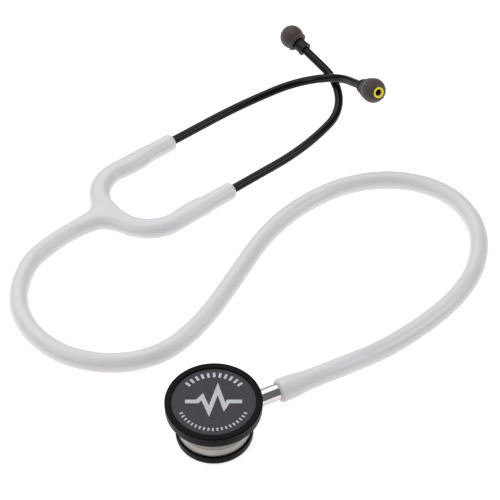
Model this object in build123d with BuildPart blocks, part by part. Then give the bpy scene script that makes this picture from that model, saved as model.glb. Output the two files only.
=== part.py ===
"""Dual-head stethoscope: a turning chestpiece, one hose, a moulded fork and a sprung headset.

Millimetres, +Z up. The origin is the centre of the bell's mouth, which stands on the table, and +X runs
along the stem towards the hose. The headset lies flat behind the chestpiece, its tips raised.
"""
import os
from math import acos, cos, degrees, pi, radians, sin, tan

from build123d import *

# ---------------------------------------------------------------- chestpiece
head_height = 24.2            # table to the top of the diaphragm rim
rim_radius = 22.5             # outside of the diaphragm rim
rim_height = 5.9
rim_lip_radius = 19.4         # the opening that shows the diaphragm
rim_lip_thickness = 0.8
rim_chamfer = 0.5             # round the top
rim_bevel_height = 1.0        # round the foot
rim_bevel_width = 1.1
flange_radius = 20.6          # the metal flange that the rim snaps over
flange_thickness = 3.4
flange_neck_radius = 19.9
flange_flare = 0.6            # straight part under the rim, before the drum flares in
diaphragm_radius = 20.4
diaphragm_thickness = 0.4
seal_width = 1.6
seal_thickness = 0.3
chamber_radius = 18.4         # shallow air chamber under the diaphragm
chamber_edge_depth = 0.6
chamber_centre_depth = 2.2
flat_centre_radius = 2.0      # flat round the air port, on both sides
drum_radius = 17.3
bead_radius = 17.7            # bright bead round the drum
bead_bottom = 13.3
bead_height = 0.8
groove_depth = 0.35
groove_width = 0.5
bell_ring_radius = 18.2
bell_ring_height = 4.8
bell_ring_foot = 1.5          # rounding of the foot, and of the top edge
bell_ring_crown = 0.8
bell_mouth_radius = 15.0
bell_mouth_depth = 3.4
bell_depth = 7.2
bell_middle = (8.0, 6.0)      # a point on the bell's curved wall
bell_lip_inner = 15.6         # the metal lip that carries the bell ring
bell_lip_outer = 17.0
bell_lip_bottom = 1.4
port_radius = 1.1

# ---------------------------------------------------------------- stem and its detent
stem_height = 12.4
stem_radius = 4.15            # the polished part that shows
valve_radius = 3.2            # the part that turns inside the drum
valve_clearance = 0.05
valve_end = -7.0
stem_shoulder = 17.9
shoulder_gap = 0.3
cuff_start = 33.0
barb_radius = 3.0
barb_end = 47.0
barb_ridge = 0.3
barb_length = 3.0
stem_bore = 1.5
o_ring_section = 1.3
o_ring_depth = 0.95
o_ring_offset = 4.2
o_ring_clearance = 0.03       # the rings are drawn just short of the drum's bore
detent_station = 10.0         # along the stem
detent_ball_radius = 1.2
detent_track_depth = 0.55
detent_click_depth = 0.35
detent_clearance = 0.1
detent_bore_radius = 1.35
detent_screw_length = 3.2
detent_socket_sides = 6
detent_screw_recess = 0.5
detent_socket_radius = 0.8
detent_wire = 0.35
detent_coils = 5

# ---------------------------------------------------------------- hose
hose_radius = 5.0
hose_bore = 2.5
cuff_end = 50.0
cuff_radius = 6.0
cuff_nose = 1.6
cuff_crown = 6.0              # how far the cuff keeps its full width
hose_first_run = 18.0         # straight out of the cuff
hose_last_run = 12.0          # straight into the fork
hose_first_lift = 0.8         # the first turn is still on its way down to the table
hose_corner_share = 0.45      # of the shorter run, used up by each corner's rounding
hose_turns = [                # between those two runs, laid in loose curves on the table
    (93, 5), (117, 10), (143, 18), (167, 33), (184, 58), (184, 88), (165, 110), (137, 119), (106, 115),
    (78, 103), (51, 82), (24, 62), (-4, 50), (-32, 57), (-53, 79), (-58, 111), (-43, 138),
]

# ---------------------------------------------------------------- moulded fork and headset
headset_origin = (77.0, 169.5)
headset_heading = 13.8        # degrees from +X
fork_height = hose_radius     # centre of the fork and of the straight legs
fork_half_thickness = 5.0
leg_spacing = 26.6            # half the distance between the legs
corner_radius = 24.0
arm_half_width = 5.6
leg_start = -44.0             # where each leg becomes straight, along the headset axis
leg_end = -4.5                # the open end of each leg
leg_bulge = 6.1               # half width where the spring's end lies, swollen on the inner side
leg_bulge_run = (6.0, 16.0, 23.0)    # after leg_start: the bulge is full, still full, gone
leg_tip_radius = 5.0
leg_tip_rounding = 1.6
trunk_start = -90.0
trunk_side = 3.3
trunk_shape = [               # station, share of trunk_side, half width; the last one is at the crotch
    (trunk_start, 1.0, hose_radius), (-84.5, 1.0, 5.5), (-78.0, 0.9, 6.8), (-72.5, 0.6, 8.8),
    (-68.0, 0.0, 12.0),
]
hinge_turn = 45.0             # how far round the corner each arm gives
hinge_gap = 0.45
hinge_trim = 12.0             # degrees of arm drawn past the hinge and trimmed to its plane
spread_limit = 42.0
spread_margin = 6.0
air_radius = 2.0
spring_offset = 3.1
spring_thickness = 0.8
spring_width = 6.0
spring_arm_end = -28.0

# ---------------------------------------------------------------- ear tubes and tips
tube_radius = 2.5
tube_bore = 1.8
tube_inner_end = -46.0
ease_radius = 177.0
ease_turn = 14.7
elbow_radius = 33.4
tube_straight = 22.5
collar_radius = 4.3
collar_length = 6.2
collar_depth = 5.2            # how far the tube goes into the collar
collar_rounding = 0.3
nipple_radius = 2.6
nipple_length = 6.5
nipple_clearance = 0.05
tip_gap = 0.3
tip_length = 11.9
tip_radius = 7.0
tip_core_radius = 3.1
tip_core_bore = 1.95
tip_core_nose = 3.0
tip_core_setback = 1.0        # from the tip's skirt to the core
tip_dome_share = 0.9          # of the dome's radius, from its centre to the tip's cut end
tip_dome_trim = 3.0           # degrees the dome starts behind that end
tip_dome_end = 90.0           # degrees round the dome, where the skirt takes over
tip_lip = 0.6                 # width of the skirt's flat lip
tip_skirt_height = 0.5
tip_skirt_step = 0.1

LEFT = 1
RIGHT = -1
side_names = {LEFT: "left", RIGHT: "right"}
hinge_lean = {LEFT: 48.0, RIGHT: 16.0}     # opening lifts both sides, the left over the right
ease_start = {LEFT: 23.8, RIGHT: 27.4}     # where each tube starts to lean in
tube_roll = {LEFT: 24.2, RIGHT: 15.3}      # how far each tube is turned up in its leg
elbow_turn = {LEFT: 87.9, RIGHT: 77.4}     # the two elbows are bent by hand and differ

os.makedirs("parts", exist_ok=True)


def finish(part, name):
    """Label a finished piece and write it."""
    part.label = name
    export_step(part, f"parts/{name}.step")


# ================================================================ chestpiece
chamber_floor = head_height - rim_lip_thickness - diaphragm_thickness - seal_thickness
flange_bottom = chamber_floor - flange_thickness
rim_bottom = head_height - rim_height
stem_axis = Axis((0, 0, stem_height), (1, 0, 0))

with BuildPart() as chestpiece_body:
    with BuildSketch(Plane.XZ):
        with BuildLine():
            Polyline(
                (0, bell_depth),
                (0, chamber_floor - chamber_centre_depth),
                (flat_centre_radius, chamber_floor - chamber_centre_depth),
                (chamber_radius, chamber_floor - chamber_edge_depth),
                (chamber_radius, chamber_floor),
                (flange_radius, chamber_floor),
                (flange_radius, flange_bottom),
                (flange_neck_radius, flange_bottom),
                (flange_neck_radius, rim_bottom - flange_flare),
                (bead_radius, bead_bottom + bead_height),
                (bead_radius, bead_bottom),
                (drum_radius - groove_depth, bead_bottom),
                (drum_radius - groove_depth, bead_bottom - groove_width),
                (drum_radius, bead_bottom - groove_width),
                (drum_radius, bell_ring_height),
                (bell_lip_outer, bell_ring_height),
                (bell_lip_outer, bell_lip_bottom),
                (bell_lip_inner, bell_lip_bottom),
                (bell_lip_inner, bell_mouth_depth),
            )
            bell_wall = ThreePointArc((bell_lip_inner, bell_mouth_depth),
                                      bell_middle,
                                      (flat_centre_radius, bell_depth))
            Line(bell_wall @ 1, (0, bell_depth))
        make_face()
    revolve(axis=Axis.Z)
    with BuildSketch(Plane.YZ.offset(valve_end - valve_clearance)):
        with Locations((0, stem_height)):
            Circle(valve_radius + valve_clearance)
    extrude(amount=rim_radius - valve_end, mode=Mode.SUBTRACT)
    with BuildSketch(Plane.XY.offset(bell_depth - port_radius)):
        Circle(port_radius)
    extrude(amount=chamber_floor - bell_depth, mode=Mode.SUBTRACT)
    with BuildSketch(Plane.YZ.offset(stem_shoulder - shoulder_gap)):
        with Locations((0, stem_height)):
            Circle(stem_radius + shoulder_gap)
    extrude(amount=rim_radius, mode=Mode.SUBTRACT)
    with BuildSketch(Plane.XZ.offset(-valve_radius / 2)):
        with Locations((detent_station, stem_height)):
            Circle(detent_bore_radius)
    extrude(amount=-rim_radius, mode=Mode.SUBTRACT)
finish(chestpiece_body.part, "chestpiece_body")

with BuildPart() as diaphragm_seal:
    with BuildSketch(Plane.XY.offset(chamber_floor)):
        Circle(diaphragm_radius)
        Circle(diaphragm_radius - seal_width, mode=Mode.SUBTRACT)
    extrude(amount=seal_thickness)
finish(diaphragm_seal.part, "diaphragm_seal")

with BuildPart() as diaphragm:
    with BuildSketch(Plane.XY.offset(chamber_floor + seal_thickness)):
        Circle(diaphragm_radius)
    extrude(amount=diaphragm_thickness)
finish(diaphragm.part, "diaphragm")

with BuildPart() as diaphragm_rim:
    with BuildSketch(Plane.XZ):
        with BuildLine():
            Polyline(
                (rim_lip_radius, head_height),
                (rim_radius, head_height),
                (rim_radius, rim_bottom + rim_bevel_height),
                (rim_radius - rim_bevel_width, rim_bottom),
                (flange_neck_radius, rim_bottom),
                (flange_neck_radius, flange_bottom),
                (flange_radius, flange_bottom),
                (flange_radius, head_height - rim_lip_thickness),
                (rim_lip_radius, head_height - rim_lip_thickness),
                close=True,
            )
        make_face()
    revolve(axis=Axis.Z)
    top_edges = diaphragm_rim.edges().filter_by(GeomType.CIRCLE).group_by(Axis.Z)[-1]
    chamfer(top_edges.sort_by(SortBy.RADIUS)[-1], rim_chamfer)
finish(diaphragm_rim.part, "diaphragm_rim")

with BuildPart() as bell_ring:
    with BuildSketch(Plane.XZ):
        with BuildLine():
            Polyline(
                (bell_mouth_radius, 0),
                (bell_ring_radius, 0),
                (bell_ring_radius, bell_ring_height),
                (bell_lip_outer, bell_ring_height),
                (bell_lip_outer, bell_lip_bottom),
                (bell_lip_inner, bell_lip_bottom),
                (bell_lip_inner, bell_mouth_depth),
                (bell_mouth_radius, bell_mouth_depth),
                close=True,
            )
        make_face()
    revolve(axis=Axis.Z)
    outer_edges = bell_ring.edges().filter_by(GeomType.CIRCLE).group_by(SortBy.RADIUS)[-1]
    fillet(outer_edges.sort_by(Axis.Z)[0], bell_ring_foot)
    outer_edges = bell_ring.edges().filter_by(GeomType.CIRCLE).group_by(SortBy.RADIUS)[-1]
    fillet(outer_edges.sort_by(Axis.Z)[-1], bell_ring_crown)
finish(bell_ring.part, "bell_ring")

# ================================================================ stem
with BuildPart() as stem:
    with BuildSketch(Plane.XZ):
        with BuildLine():
            Polyline(
                (valve_end, stem_height),
                (valve_end, stem_height + valve_radius),
                (stem_shoulder, stem_height + valve_radius),
                (stem_shoulder, stem_height + stem_radius),
                (cuff_start, stem_height + stem_radius),
                (cuff_start, stem_height + barb_radius),
                (barb_end - barb_length, stem_height + barb_radius),
                (barb_end - barb_length, stem_height + barb_radius + barb_ridge),
                (barb_end, stem_height + barb_radius),
                (barb_end, stem_height),
                close=True,
            )
        make_face()
    revolve(axis=stem_axis)
    with BuildSketch(Plane.YZ):
        with Locations((0, stem_height)):
            Circle(stem_bore)
    extrude(amount=barb_end, mode=Mode.SUBTRACT)
    with BuildSketch(Plane.XY.offset(stem_height)):
        Circle(port_radius)
    extrude(amount=valve_radius + valve_clearance, mode=Mode.SUBTRACT)
    with BuildSketch(Plane.XZ):
        for side in (-1, 1):
            with Locations((side * o_ring_offset, stem_height + valve_radius - o_ring_depth / 2)):
                Rectangle(o_ring_section, o_ring_depth)
        track_height = stem_height + valve_radius - detent_track_depth
        with Locations((detent_station, track_height + detent_bore_radius)):
            Circle(detent_bore_radius)
    revolve(axis=stem_axis, mode=Mode.SUBTRACT)
    click_reach = valve_radius - detent_track_depth - detent_click_depth + detent_ball_radius
    with Locations((detent_station, click_reach, stem_height), (detent_station, -click_reach, stem_height)):
        Sphere(detent_ball_radius, mode=Mode.SUBTRACT)
finish(stem.part, "stem")

with BuildPart() as stem_seal_rings:
    ring_outer = valve_radius + valve_clearance - o_ring_clearance
    ring_section = (ring_outer - (valve_radius - o_ring_depth)) / 2
    with BuildSketch(Plane.XZ):
        for side in (-1, 1):
            with Locations((side * o_ring_offset, stem_height + ring_outer - ring_section)):
                Circle(ring_section)
    revolve(axis=stem_axis)
finish(stem_seal_rings.part, "stem_seal_rings")

ball_centre = valve_radius - detent_track_depth + detent_ball_radius + detent_clearance
with BuildPart() as detent_ball:
    with Locations((detent_station, ball_centre, stem_height)):
        Sphere(detent_ball_radius)
finish(detent_ball.part, "detent_ball")

drum_wall = (drum_radius ** 2 - detent_station ** 2) ** 0.5
screw_start = drum_wall - detent_screw_recess - detent_screw_length
spring_start = ball_centre + detent_ball_radius
spring_length = screw_start - spring_start
spring_height = spring_length - detent_wire
with BuildPart() as detent_spring:
    with BuildLine():
        coil = Helix(pitch=spring_height / detent_coils, height=spring_height,
                     radius=detent_bore_radius - detent_wire,
                     center=(detent_station, spring_start + detent_wire / 2, stem_height),
                     direction=(0, 1, 0))
    with BuildSketch(Plane(origin=coil @ 0, z_dir=coil % 0)):
        Circle(detent_wire / 2)
    sweep(is_frenet=True)
finish(detent_spring.part, "detent_spring")

with BuildPart() as detent_screw:
    with BuildSketch(Plane.XZ.offset(-screw_start)):
        with Locations((detent_station, stem_height)):
            Circle(detent_bore_radius)
    extrude(amount=-detent_screw_length)
    with BuildSketch(Plane.XZ.offset(-screw_start - detent_screw_length)):
        with Locations((detent_station, stem_height)):
            RegularPolygon(detent_socket_radius, detent_socket_sides)
    extrude(amount=detent_screw_length / 2, mode=Mode.SUBTRACT)
finish(detent_screw.part, "detent_screw")

# ================================================================ hose
with BuildPart() as stem_cuff:
    with BuildSketch(Plane.XZ):
        with BuildLine():
            edge = Polyline(
                (cuff_end, stem_height + hose_bore),
                (barb_end, stem_height + barb_radius),
                (barb_end - barb_length, stem_height + barb_radius + barb_ridge),
                (barb_end - barb_length, stem_height + barb_radius),
                (cuff_start, stem_height + barb_radius),
                (cuff_start, stem_height + cuff_radius - cuff_nose),
            )
            nose = RadiusArc(edge @ 1, (cuff_start + cuff_nose, stem_height + cuff_radius), cuff_nose)
            crown = Line(nose @ 1, (cuff_start + cuff_crown, stem_height + cuff_radius))
            Spline(crown @ 1, (cuff_end, stem_height + hose_radius), tangents=[(1, 0), (1, 0)])
            Line((cuff_end, stem_height + hose_radius), (cuff_end, stem_height + hose_bore))
        make_face()
    revolve(axis=stem_axis)
finish(stem_cuff.part, "stem_cuff")

heading = radians(headset_heading)
headset = Plane(origin=(*headset_origin, fork_height), x_dir=(cos(heading), sin(heading), 0), z_dir=(0, 0, 1))
hose_start = Vector(cuff_end, 0, stem_height)
fork_mouth = headset.from_local_coords(Vector(trunk_start, trunk_side, 0))
hose_route = [hose_start, hose_start + Vector(hose_first_run, 0, 0)]
hose_route += [Vector(*place, hose_radius) for place in hose_turns]
hose_route[2] += Vector(0, 0, hose_first_lift)
hose_route += [fork_mouth - headset.x_dir * hose_last_run, fork_mouth]

corner_radii = []
for before, corner, after in zip(hose_route, hose_route[1:], hose_route[2:]):
    run_in = corner - before
    run_out = after - corner
    turn = radians(run_in.get_angle(run_out))
    corner_radii.append(hose_corner_share * min(run_in.length, run_out.length) / tan(turn / 2))
print("hose corner radii", [round(radius) for radius in corner_radii])

with BuildPart() as main_tube:
    with BuildLine() as hose_line:
        FilletPolyline(*hose_route, radius=corner_radii)
    hose_path = hose_line.wire()
    with BuildSketch(Plane(origin=hose_path @ 0, z_dir=hose_path % 0)):
        Circle(hose_radius)
        Circle(hose_bore, mode=Mode.SUBTRACT)
    sweep(path=hose_path)
hose_section = pi * (hose_radius ** 2 - hose_bore ** 2)
print("hose length", round(hose_path.length, 1), "volume over section x length",
      round(main_tube.part.volume / (hose_section * hose_path.length), 4))
finish(main_tube.part, "main_tube")

# ================================================================ moulded fork
crotch = leg_start - corner_radius
corner_side = leg_spacing - corner_radius


def section_plane(x, y, across=(0, 1), height=0.0):
    """A plane square to the fork's line through (x, y), its own X pointing along `across`."""
    origin = headset.from_local_coords(Vector(x, y, height))
    x_dir = headset.from_local_coords(Vector(x + across[0], y + across[1], height)) - origin
    return Plane(origin=origin, x_dir=x_dir, z_dir=x_dir.cross(headset.z_dir))


def corner_point(side, turn, radius=corner_radius):
    """A point on a corner of the fork, `turn` degrees round from the crotch."""
    angle = radians(turn)
    return (leg_start - radius * cos(angle), side * (corner_side + radius * sin(angle)))


def corner_plane(side, turn, radius=corner_radius):
    """The section plane at that point, its X pointing outwards."""
    angle = radians(turn)
    return section_plane(*corner_point(side, turn, radius), across=(-cos(angle), side * sin(angle)))


def crotch_line(offset, turn):
    """The line from one arm's end, round both corners and through the crotch, to the other arm's end."""
    radius = corner_radius - offset
    with BuildLine(headset) as line:
        CenterArc((leg_start, corner_side), radius, 180 - turn, turn)
        Line((leg_start - radius, corner_side), (leg_start - radius, -corner_side))
        CenterArc((leg_start, -corner_side), radius, 180, turn)
    return line.wire()


def leg_line(side, offset, turn, end=leg_start):
    """The line from one corner's hinge, on round the corner and, where `end` says so, along the leg."""
    radius = corner_radius - offset
    with BuildLine(headset) as line:
        CenterArc((leg_start, side * corner_side), radius, side * (180 - turn), -side * (90 - turn))
        if end > leg_start:
            Line((leg_start, side * (corner_side + radius)), (end, side * (corner_side + radius)))
    return line.wire()


def hinge_plane(side, setback=0.0):
    """The plane square to a hinge's axis, its X pointing along the arm; `setback` moves it to the crotch."""
    angle = radians(hinge_turn)
    arm_way = headset.x_dir * sin(angle) + headset.y_dir * (side * cos(angle))
    axis = (headset.z_dir - headset.y_dir * (side * tan(radians(hinge_lean[side])))).normalized()
    forwards = (arm_way - axis * arm_way.dot(axis)).normalized()
    centre = headset.from_local_coords(Vector(*corner_point(side, hinge_turn)))
    return Plane(origin=centre - forwards * setback, x_dir=forwards, z_dir=axis)


def split_plane(side, setback=0.0):
    """The plane through a hinge's axis that parts the arm from the leg; it faces the leg."""
    hinge = hinge_plane(side, setback)
    return Plane(origin=hinge.origin, x_dir=hinge.z_dir, z_dir=hinge.x_dir)


arm_turn = hinge_turn + hinge_trim
leg_turn = hinge_turn - hinge_trim

with BuildPart() as yoke:
    with BuildSketch(corner_plane(LEFT, arm_turn)):
        Ellipse(arm_half_width, fork_half_thickness)
    sweep(path=crotch_line(0, arm_turn))
    for station, share, half_width in trunk_shape:
        with BuildSketch(section_plane(station, share * trunk_side)):
            Ellipse(half_width, fork_half_thickness)
    loft()
    for side in (LEFT, RIGHT):
        split(bisect_by=split_plane(side, hinge_gap), keep=Keep.BOTTOM)
        reach = 3 * arm_half_width
        opening = radians(90 + spread_limit + spread_margin)
        with BuildSketch(hinge_plane(side, hinge_gap)):
            with BuildLine():
                Polyline(
                    (0, 0),
                    (0, side * reach),
                    (reach * cos(opening), side * reach * sin(opening)),
                    close=True,
                )
            make_face()
        extrude(amount=reach, both=True, mode=Mode.SUBTRACT)
    with BuildSketch(section_plane(trunk_start, trunk_side)):
        Circle(hose_bore)
    extrude(amount=crotch - trunk_start, mode=Mode.SUBTRACT)
    with BuildSketch(corner_plane(LEFT, arm_turn)):
        Circle(air_radius)
    sweep(path=crotch_line(0, arm_turn), mode=Mode.SUBTRACT)
    with BuildSketch(corner_plane(LEFT, arm_turn, corner_radius - spring_offset)):
        Rectangle(spring_thickness, spring_width)
    sweep(path=crotch_line(spring_offset, arm_turn), mode=Mode.SUBTRACT)
finish(yoke.part, "yoke")

with BuildPart() as spring_bridge:
    with BuildSketch(corner_plane(LEFT, arm_turn, corner_radius - spring_offset)):
        Rectangle(spring_thickness, spring_width)
    sweep(path=crotch_line(spring_offset, arm_turn))
    for side in (LEFT, RIGHT):
        split(bisect_by=split_plane(side, hinge_gap), keep=Keep.BOTTOM)
finish(spring_bridge.part, "spring_bridge")


# ================================================================ legs, ear tubes and tips
def ear_tube_plane(side):
    """The plane that an ear tube is bent in: X along the leg, Y inwards and up."""
    roll = radians(tube_roll[side])
    base = headset.from_local_coords(Vector(0, side * leg_spacing, 0))
    inwards = headset.y_dir * (-side * cos(roll)) + headset.z_dir * sin(roll)
    return Plane(origin=base, x_dir=headset.x_dir, z_dir=headset.x_dir.cross(inwards))


def tip_frame(side):
    """The plane at the free end of an ear tube: X along the tube, Y across it in the tube's own plane."""
    end = ear_lines[side]
    return Plane(origin=end @ 1, x_dir=end % 1, z_dir=ear_tube_plane(side).z_dir)


ear_lines = {}
for side, side_name in side_names.items():
    with BuildPart() as branch:
        with BuildSketch(corner_plane(side, leg_turn)):
            Ellipse(arm_half_width, fork_half_thickness)
        sweep(path=leg_line(side, 0, leg_turn))
        split(bisect_by=split_plane(side), keep=Keep.TOP)
        bulge_side = leg_spacing - (leg_bulge - arm_half_width)
        bulge_full, bulge_fades, bulge_gone = [leg_start + run for run in leg_bulge_run]
        for station, centre, half_width in [(leg_start, leg_spacing, arm_half_width),
                                            (bulge_full, bulge_side, leg_bulge),
                                            (bulge_fades, bulge_side, leg_bulge),
                                            (bulge_gone, leg_spacing, leg_tip_radius)]:
            with BuildSketch(section_plane(station, side * centre)):
                Ellipse(half_width, fork_half_thickness)
        loft()
        with BuildSketch(section_plane(leg_end, side * leg_spacing)):
            Circle(leg_tip_radius)
        extrude(amount=bulge_gone - leg_end)
        round_edges = branch.edges().filter_by(GeomType.CIRCLE)
        fillet(round_edges.sort_by(Axis(headset.origin, headset.x_dir))[-1], leg_tip_rounding)
        with BuildSketch(corner_plane(side, leg_turn)):
            Circle(air_radius)
        sweep(path=leg_line(side, 0, leg_turn), mode=Mode.SUBTRACT)
        with BuildSketch(section_plane(leg_end, side * leg_spacing)):
            Circle(tube_radius)
        extrude(amount=tube_inner_end - leg_end, mode=Mode.SUBTRACT)
        with BuildSketch(corner_plane(side, leg_turn, corner_radius - spring_offset)):
            Rectangle(spring_thickness, spring_width)
        sweep(path=leg_line(side, spring_offset, leg_turn, spring_arm_end), mode=Mode.SUBTRACT)
    finish(branch.part, f"{side_name}_branch")

    with BuildPart() as spring_arm:
        with BuildSketch(corner_plane(side, leg_turn, corner_radius - spring_offset)):
            Rectangle(spring_thickness, spring_width)
        sweep(path=leg_line(side, spring_offset, leg_turn, spring_arm_end))
        split(bisect_by=split_plane(side), keep=Keep.TOP)
    finish(spring_arm.part, f"{side_name}_spring_arm")

    with BuildPart() as ear_tube:
        with BuildLine(ear_tube_plane(side)) as tube_line:
            straight = Line((tube_inner_end, 0), (ease_start[side], 0))
            ease = JernArc(straight @ 1, straight % 1, ease_radius, ease_turn)
            elbow = JernArc(ease @ 1, ease % 1, elbow_radius, elbow_turn[side])
            Line(elbow @ 1, elbow @ 1 + (elbow % 1) * (tube_straight - collar_length + collar_depth))
        tube_path = tube_line.wire()
        with BuildSketch(Plane(origin=tube_path @ 0, z_dir=tube_path % 0)):
            Circle(tube_radius)
            Circle(tube_bore, mode=Mode.SUBTRACT)
        sweep(path=tube_path)
    ear_lines[side] = tube_path
    finish(ear_tube.part, f"{side_name}_ear_tube")

    tip = tip_frame(side)
    tip_axis = Axis(tip.origin, tip.x_dir)
    collar_front = collar_length - collar_depth
    with BuildPart() as collar:
        with BuildSketch(tip):
            with BuildLine():
                Polyline(
                    (-collar_depth, tube_radius),
                    (0, tube_radius),
                    (0, tube_bore),
                    (collar_front + nipple_length, tube_bore),
                    (collar_front + nipple_length, nipple_radius),
                    (collar_front, nipple_radius),
                    (collar_front, collar_radius),
                    (-collar_depth, collar_radius),
                    close=True,
                )
            make_face()
        revolve(axis=tip_axis)
        rims = collar.edges().filter_by(GeomType.CIRCLE).group_by(SortBy.RADIUS)[-1]
        fillet(rims, collar_rounding)
    finish(collar.part, f"{side_name}_collar")

    core_start = collar_front + tip_gap + tip_core_setback
    core_end = collar_front + tip_gap + tip_length
    with BuildPart() as tip_core:
        with BuildSketch(tip):
            with BuildLine():
                Polyline(
                    (core_start, nipple_radius + nipple_clearance),
                    (core_end - tip_core_nose, nipple_radius + nipple_clearance),
                    (core_end - tip_core_nose, tip_core_bore),
                    (core_end, tip_core_bore),
                    (core_end, tip_core_radius),
                    (core_start, tip_core_radius),
                    close=True,
                )
            make_face()
        revolve(axis=tip_axis)
    finish(tip_core.part, f"{side_name}_tip_core")

    skirt = core_start - tip_core_setback
    dome_centre = core_end - tip_radius * tip_dome_share
    dome_start = degrees(acos(tip_dome_share)) + tip_dome_trim
    with BuildPart() as ear_tip:
        with BuildSketch(tip):
            with BuildLine():
                dome = CenterArc((dome_centre, 0), tip_radius, dome_start, tip_dome_end - dome_start)
                Line(dome @ 0, (core_end, tip_core_radius))
                Polyline(
                    (core_end, tip_core_radius),
                    (core_start, tip_core_radius),
                    (skirt, tip_core_radius + tip_lip),
                    (skirt, tip_radius - tip_lip),
                    (skirt + tip_skirt_height, tip_radius - tip_skirt_step),
                    dome @ 1,
                )
            make_face()
        revolve(axis=tip_axis)
    finish(ear_tip.part, f"{side_name}_ear_tip")

print("left tip", ear_lines[LEFT] @ 1, "right tip", ear_lines[RIGHT] @ 1)
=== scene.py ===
# %% [markdown]
# # A dual-head stethoscope
# The chestpiece, its stem, the thick hose, the moulded fork and the sprung headset are dressed one after
# another. Everything is in metres, in the same frame as the engineering model, so each piece is made where
# it belongs and is never moved afterwards.

# %% Load the model
from math import acos, cos, pi, radians, sin

import bmesh
import bpy
import numpy as np
from mathutils import Matrix, Vector


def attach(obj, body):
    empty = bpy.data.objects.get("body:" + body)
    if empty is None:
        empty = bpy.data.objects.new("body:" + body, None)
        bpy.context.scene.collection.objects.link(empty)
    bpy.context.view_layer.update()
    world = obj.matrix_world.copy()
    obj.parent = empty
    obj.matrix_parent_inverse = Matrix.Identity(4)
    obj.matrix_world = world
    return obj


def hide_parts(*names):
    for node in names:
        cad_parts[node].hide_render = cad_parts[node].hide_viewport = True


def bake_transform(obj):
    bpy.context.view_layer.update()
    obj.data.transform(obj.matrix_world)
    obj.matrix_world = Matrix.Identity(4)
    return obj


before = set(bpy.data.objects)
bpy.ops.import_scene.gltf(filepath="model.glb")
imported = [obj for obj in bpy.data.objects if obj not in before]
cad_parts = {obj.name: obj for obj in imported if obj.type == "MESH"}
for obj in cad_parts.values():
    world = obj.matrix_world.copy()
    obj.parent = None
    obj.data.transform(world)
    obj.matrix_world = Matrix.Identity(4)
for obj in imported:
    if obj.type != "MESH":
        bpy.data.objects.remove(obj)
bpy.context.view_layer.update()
MM = 0.001

# %% [markdown]
# The camera stands in front of the chestpiece and looks down at 45 degrees. A short lens close by would
# make the chestpiece huge and the ear tips tiny; a long lens further off keeps them nearly to one scale, so
# a long one is used. The stem is turned away from the camera's own right by the view angle, which the
# diaphragm's print also follows, so that it reads upright in this view.

# %% Camera
view_angle = radians(-26.5)
camera_data = bpy.data.cameras.new("camera")
camera_data.lens = 100
camera_data.sensor_width = 36
camera = bpy.data.objects.new("camera", camera_data)
camera.location = (-0.1628, -0.3637, 0.5190)
camera.rotation_euler = (radians(45), 0, view_angle)
bpy.context.collection.objects.link(camera)
bpy.context.scene.camera = camera
print("camera", round(camera.location.length, 3), "m from the chestpiece's foot")

# %% [markdown]
# ## Helpers
# A turned piece is an outline spun about an axis, and most parts of this object
# were made on a lathe or in a round mould, so one helper makes them all. The outline's corners are rounded
# first, because it is the small round on an edge that catches the light.


# %% Rounded outlines
def rounded(outline, radii, steps=6):
    """The closed outline with each corner cut by an arc of its own radius."""
    points = np.array(outline, float)
    result = []
    for index, corner in enumerate(points):
        before, after = points[index - 1], points[(index + 1) % len(points)]
        radius = radii[index] if np.ndim(radii) else radii
        to_before, to_after = before - corner, after - corner
        back = to_before / np.linalg.norm(to_before)
        ahead = to_after / np.linalg.norm(to_after)
        half = acos(np.clip(back @ ahead, -1, 1)) / 2
        if radius <= 0 or half > radians(88):
            result.append(corner)
            continue
        reach = min(radius / np.tan(half), 0.49 * np.linalg.norm(to_before), 0.49 * np.linalg.norm(to_after))
        first, last = corner + back * reach, corner + ahead * reach
        for share in np.linspace(0, 1, steps):
            result.append((1 - share) ** 2 * first + 2 * share * (1 - share) * corner + share ** 2 * last)
    return np.array(result)


# %% [markdown]
# A mesh is made from plain lists of points and faces. Lists written by hand or by a loop easily leave double
# points and inside-out faces, so a second helper merges the one and turns the other before it shades the
# piece smooth, and keeps an edge hard where it is sharper than a given angle.


# %% Meshes from points and faces
def add_mesh(name, points, faces, material):
    """A mesh object from points in millimetres."""
    mesh = bpy.data.meshes.new(name)
    mesh.from_pydata([tuple(point * MM) for point in np.asarray(points, float)], [], faces)
    mesh.materials.append(material)
    mesh.update()
    piece = bpy.data.objects.new(name, mesh)
    bpy.context.collection.objects.link(piece)
    return piece


def outward(piece, sharp=35):
    """Merge doubles, turn the faces outwards and shade smooth up to an angle."""
    shape = bmesh.new()
    shape.from_mesh(piece.data)
    bmesh.ops.remove_doubles(shape, verts=shape.verts, dist=1e-7)
    bmesh.ops.recalc_face_normals(shape, faces=shape.faces)
    shape.to_mesh(piece.data)
    shape.free()
    piece.data.shade_smooth()
    piece.data.set_sharp_from_angle(angle=radians(sharp))
    return piece


# %% [markdown]
# Blender's Screw modifier could spin the outlines, but it spins about a main axis only, and the ear tips
# point along slanting ones. The helper below places each ring of points about any axis instead.


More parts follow.
